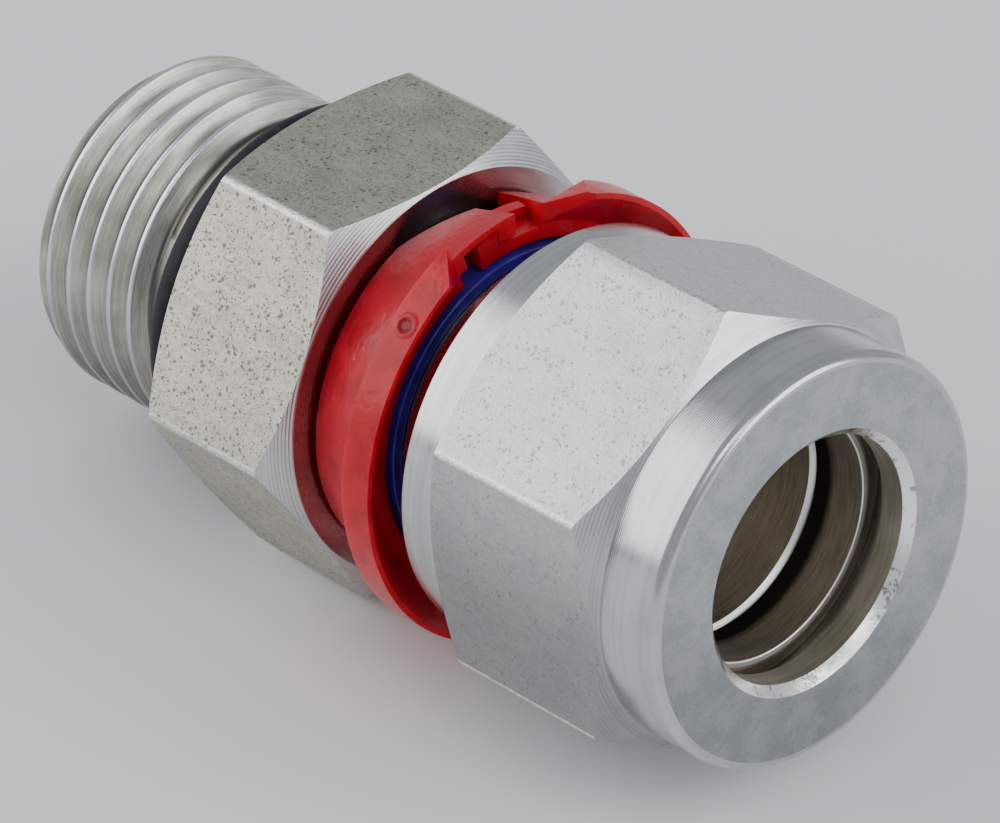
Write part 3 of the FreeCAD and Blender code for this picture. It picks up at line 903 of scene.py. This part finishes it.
def satin_skin(name, light, dark, rough):
    """A face that was turned and then tumbled: soft clouds and no rings to see."""
    skin = Finish(name, Metallic=1.0)
    clouds = skin.noise(skin.place, 0.55, 5.0, 0.6)
    grain = skin.noise(skin.place, 7.0, 3.0, 0.6)
    colour = skin.blend((clouds * 0.6 + grain * 0.4).step(0.38, 0.62), dark, light)
    # Painted shade: the face darkens towards the lower left.
    return skin.wear(skin.darkened(colour, 0.3), rough + 0.12 * clouds, grain + clouds * 0.6, 0.010)


def nut_material(x, radius):
    """Polished round ends, ringed chamfers, a satin front, a rough mouth and an oily bore."""
    if x < SKIRT_END or (x > NUT_HEX_END and radius > SKIRT_RADIUS - 0.45):
        return NUT_TURNED
    if radius > SKIRT_RADIUS + PAINT_MARGIN:
        return NUT_CHAMFER
    if x > NUT_END - 0.1:
        return NUT_FACE
    if x > NUT_END - NUT_BEVEL - NEAR and radius < NUT_HOLE + NUT_BEVEL + 0.1:
        return NUT_MOUTH
    return NUT_BORE


nut_core = turned(nut_outline)
paint_turned(nut_core, nut_material)
cut_flats(nut_core, NUT_CORNER, HEX_FLATS, NUT_BAR)
break_edges(nut_core, EDGE_BREAK, NUT_BAR, NUT_EDGE)
nut = piece(
    "union_nut_steel",
    [nut_core],
    [
        bar_skin("nut_bar_skin", NUT_LIGHT, NUT_DARK, 0.58, 0.78, 0.24, 0.5),
        lathe_skin("nut_turned", TURNED_LIGHT, TURNED_DARK, 0.10),
        lathe_skin("nut_chamfer", TURNED_LIGHT, TURNED_DARK, 0.18, 0.18, 0.006, 0.04, 1, 0.5),
        satin_skin("nut_face", (0.49, 0.51, 0.53), (0.36, 0.385, 0.41), 0.28),
        bore_skin("nut_bore", BORE_LIGHT, BORE_DARK, 0.38),
        edge_skin("nut_edge", (0.85, 0.85, 0.83), NUT_LIGHT, 0.22),
        edge_skin("nut_mouth", (0.97, 0.96, 0.94), (0.40, 0.36, 0.37), 0.14, 1.1, 0.44, 0.03),
    ],
)
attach(nut, "nut")
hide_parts("union_nut")

# The studio. A pale floor, touching the fitting where it comes to rest, large soft lights, and
# the camera at the photograph's angle with its long lens.

FLOOR_TILT = 4.92
FLOOR_PLACE = (0.021, 0, -12.84 * MM)
FLOOR_SIZE = 3.0
LIGHT_AIM = Vector((0.012, 0, 0))
LIGHT_DISTANCE = 0.5
WORLD_COLOUR = (0.90, 0.96, 1.0, 1)
WORLD_STRENGTH = 0.55
CAMERA_AZIMUTH = 49.0
CAMERA_ELEVATION = 34.4
CAMERA_ROLL = 4.8
CAMERA_DISTANCE = 371.8
CAMERA_AIM = (13.02, 0.04, -1.08)
CAMERA_LENS = 267.5
CAMERA_SENSOR = 36

floor_mesh = bpy.data.meshes.new("floor")
bm = bmesh.new()
bmesh.ops.create_grid(bm, x_segments=1, y_segments=1, size=FLOOR_SIZE)
tilt = Matrix.Rotation(math.radians(FLOOR_TILT), 4, "Y")
bmesh.ops.transform(bm, matrix=Matrix.Translation(FLOOR_PLACE) @ tilt, verts=bm.verts[:])
bm.to_mesh(floor_mesh)
bm.free()
floor = bpy.data.objects.new("floor", floor_mesh)
bpy.context.scene.collection.objects.link(floor)
paint = Finish("floor_paint", Roughness=0.9)
mottle = paint.noise(paint.place, 0.02, 2.0)
floor_colour = paint.blend(mottle, (0.88, 0.88, 0.88), (0.9, 0.9, 0.9))
floor_mesh.materials.append(paint.wear(floor_colour))


def towards(azimuth, elevation):
    """The direction from the fitting to a light or the camera, given in degrees."""
    a, e = math.radians(azimuth), math.radians(elevation)
    return Vector((math.sin(a) * math.cos(e), -math.cos(a) * math.cos(e), math.sin(e)))


# Rectangular area lights, aimed at the middle of the fitting.
for name, azimuth, elevation, width, height, radiance in (
    ("key_light", -55, 32, 0.5, 0.45, 2.3),
    ("right_light", 119, 18, 0.36, 0.30, 3.2),
    ("front_light", 78, 46, 0.22, 0.22, 2.6),
):
    light = bpy.data.lights.new(name, "AREA")
    light.shape = "RECTANGLE"
    light.size, light.size_y = width, height
    light.energy = radiance * math.pi * width * height
    lamp = bpy.data.objects.new(name, light)
    back = towards(azimuth, elevation)
    lamp.location = LIGHT_AIM + back * LIGHT_DISTANCE
    lamp.rotation_mode = "QUATERNION"
    lamp.rotation_quaternion = (-back).to_track_quat("-Z", "Y")
    bpy.context.scene.collection.objects.link(lamp)

world = bpy.data.worlds.new("studio")
world.use_nodes = True
world.node_tree.nodes["Background"].inputs["Color"].default_value = WORLD_COLOUR
world.node_tree.nodes["Background"].inputs["Strength"].default_value = WORLD_STRENGTH
bpy.context.scene.world = world

camera_data = bpy.data.cameras.new("camera")
camera_data.lens = CAMERA_LENS
camera_data.sensor_width = CAMERA_SENSOR
camera_data.clip_start = 0.01
camera_data.clip_end = 10
camera = bpy.data.objects.new("camera", camera_data)
back = towards(CAMERA_AZIMUTH, CAMERA_ELEVATION)
look = (-back).to_track_quat("-Z", "Y").to_matrix().to_4x4()
roll = Matrix.Rotation(math.radians(-CAMERA_ROLL), 4, "Z")
camera_place = Vector(CAMERA_AIM) * MM + back * CAMERA_DISTANCE * MM
camera.matrix_world = Matrix.Translation(camera_place) @ look @ roll
bpy.context.scene.collection.objects.link(camera)
bpy.context.scene.camera = camera
